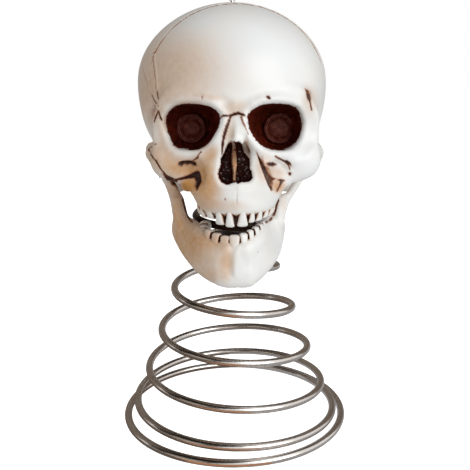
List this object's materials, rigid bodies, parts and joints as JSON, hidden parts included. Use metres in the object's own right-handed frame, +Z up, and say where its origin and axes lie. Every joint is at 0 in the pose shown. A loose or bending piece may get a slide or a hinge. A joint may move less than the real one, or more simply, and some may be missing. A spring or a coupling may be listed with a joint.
{
  "type": "skeleton tree topper",
  "caption": "Hollow skull with hinged jaw, antiqued bone finish, carried by a clamp and ball neck on a conical steel wire spring that slips over a tree's tip.",
  "frame": {"origin": "centre of the bounding box's underside, level with the flat foot of the spring's lowest turn", "axes": "+Z up along the spring, -Y the way the face looks, +X to the viewer's right from the front"},
  "size_m": [0.1116, 0.1097, 0.2025],
  "materials": {
    "bone_plastic": "moulded ivory plastic, gloss, with dark brown antiquing wiped into the recesses",
    "disc_plastic": "moulded plastic stained dark maroon brown",
    "neck_plastic": "dark moulded plastic",
    "small_steel": "plain steel wire and screw",
    "spring_steel": "bright nickel-plated spring wire"
  },
  "bodies": {
    "spring": {"cone_spring": "spring_steel"},
    "neck": {"neck_block": "neck_plastic", "clamp_plate": "neck_plastic", "clamp_screw": "small_steel"},
    "skull": {"face_shell": "bone_plastic", "rear_shell": "bone_plastic", "left_jaw_pin": "bone_plastic", "right_jaw_pin": "bone_plastic", "left_eye_disc": "disc_plastic", "right_eye_disc": "disc_plastic", "crown_loop": "small_steel"},
    "jaw": {"jaw": "bone_plastic"}
  },
  "joints": [
    {"name": "spring_bounce", "type": "slide", "parent": "spring", "child": "neck", "axis": [0, 0, 1], "range_m": [-0.015, 0.008], "stiffness_N_per_m": 455, "springref_m": 0.0034, "deforming": ["cone_spring"]},
    {"name": "spring_nod", "type": "hinge", "parent": "neck", "child": "skull", "pos_m": [0, 0.0008, 0.11452], "axis": [1, 0, 0], "range_deg": [-5, 5], "stiffness_Nm_per_rad": 0.45, "springref_deg": -2.86},
    {"name": "jaw_hinge", "type": "hinge", "parent": "skull", "child": "jaw", "pos_m": [0, -0.0052, 0.12196], "axis": [1, 0, 0], "range_deg": [-2, 8]}
  ]
}
